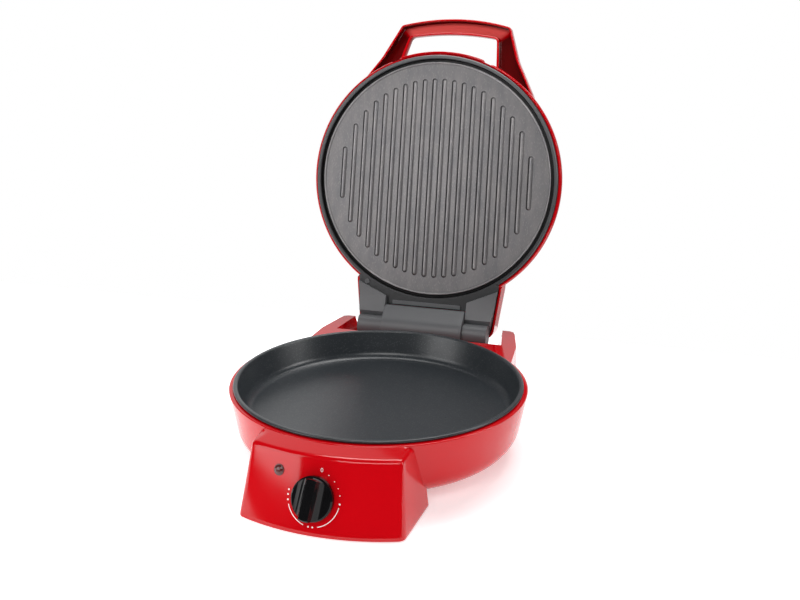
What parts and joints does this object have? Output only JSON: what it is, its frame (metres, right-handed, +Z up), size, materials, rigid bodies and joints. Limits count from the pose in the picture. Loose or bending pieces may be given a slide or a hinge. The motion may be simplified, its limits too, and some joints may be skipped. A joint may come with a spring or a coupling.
{
  "type": "electric pizza maker",
  "caption": "Countertop pizza cooker with a round pan in a bowl-shaped base, a front control block with a dial, and a domed lid with a ribbed plate and looped handle, hinged open.",
  "frame": {"origin": "middle of the bounding box on the plane that the feet stand on", "axes": "+Z up, the control panel faces -Y, the hinge of the lid runs along X at the +Y side"},
  "size_m": [0.3288, 0.6147, 0.4544],
  "materials": {
    "red_shell": "high gloss",
    "dark_plastic": "matt",
    "grey_plastic": "satin",
    "foot_rubber": "matt",
    "pan_coating": "dark non-stick coating, satin",
    "plate_coating": "grey non-stick coating, satin",
    "heater_tube": "satin",
    "bright_sheet": "bright",
    "steel": "plated",
    "dark_steel": "blackened",
    "zinc": "plated",
    "lens": "clear dark red",
    "lamp": "clear",
    "pale_plastic": "matt",
    "ceramic": "matt",
    "lead_black": "matt",
    "lead_white": "matt",
    "knob_black": "high gloss"
  },
  "bodies": {
    "base": {"base_shell": "red_shell", "control_housing": "red_shell", "rear_housing": "red_shell", "front_cover": "dark_plastic", "rear_cover": "dark_plastic", "feet": "foot_rubber", "cooking_pan": "pan_coating", "lower_heater": "heater_tube", "lower_reflector": "bright_sheet", "lower_clips": "steel", "reflector_posts": "steel", "thermostat": "zinc", "thermostat_nut": "steel", "pilot_lens": "lens", "pilot_lamp": "lamp", "terminal_block": "pale_plastic", "supply_lead": "lead_black", "control_leads": "lead_white", "cord_bush": "foot_rubber", "hinge_block": "grey_plastic", "hinge_pins": "steel", "cover_screws": "steel"},
    "lid": {"lid_shell": "red_shell", "lid_handle": "red_shell", "lid_frame": "grey_plastic", "hinge_arm_left": "grey_plastic", "hinge_arm_right": "grey_plastic", "frame_strip": "grey_plastic", "grill_plate": "plate_coating", "upper_heater": "heater_tube", "upper_reflector": "bright_sheet", "upper_clips": "steel", "thermal_fuse": "ceramic", "lid_leads": "lead_white", "frame_screws": "dark_steel"},
    "dial": {"knob": "knob_black", "thermostat_shaft": "steel"}
  },
  "joints": [
    {"name": "lid_hinge", "type": "hinge", "parent": "base", "child": "lid", "pos_m": [0, 0.10983, 0.0675], "axis": [1, 0, 0], "range_deg": [0, 102]},
    {"name": "dial_turn", "type": "hinge", "parent": "base", "child": "dial", "pos_m": [-0.0038, -0.28478, 0.03455], "axis": [0.0162, 0.9498, -0.3123], "range_deg": [0, 268]}
  ]
}
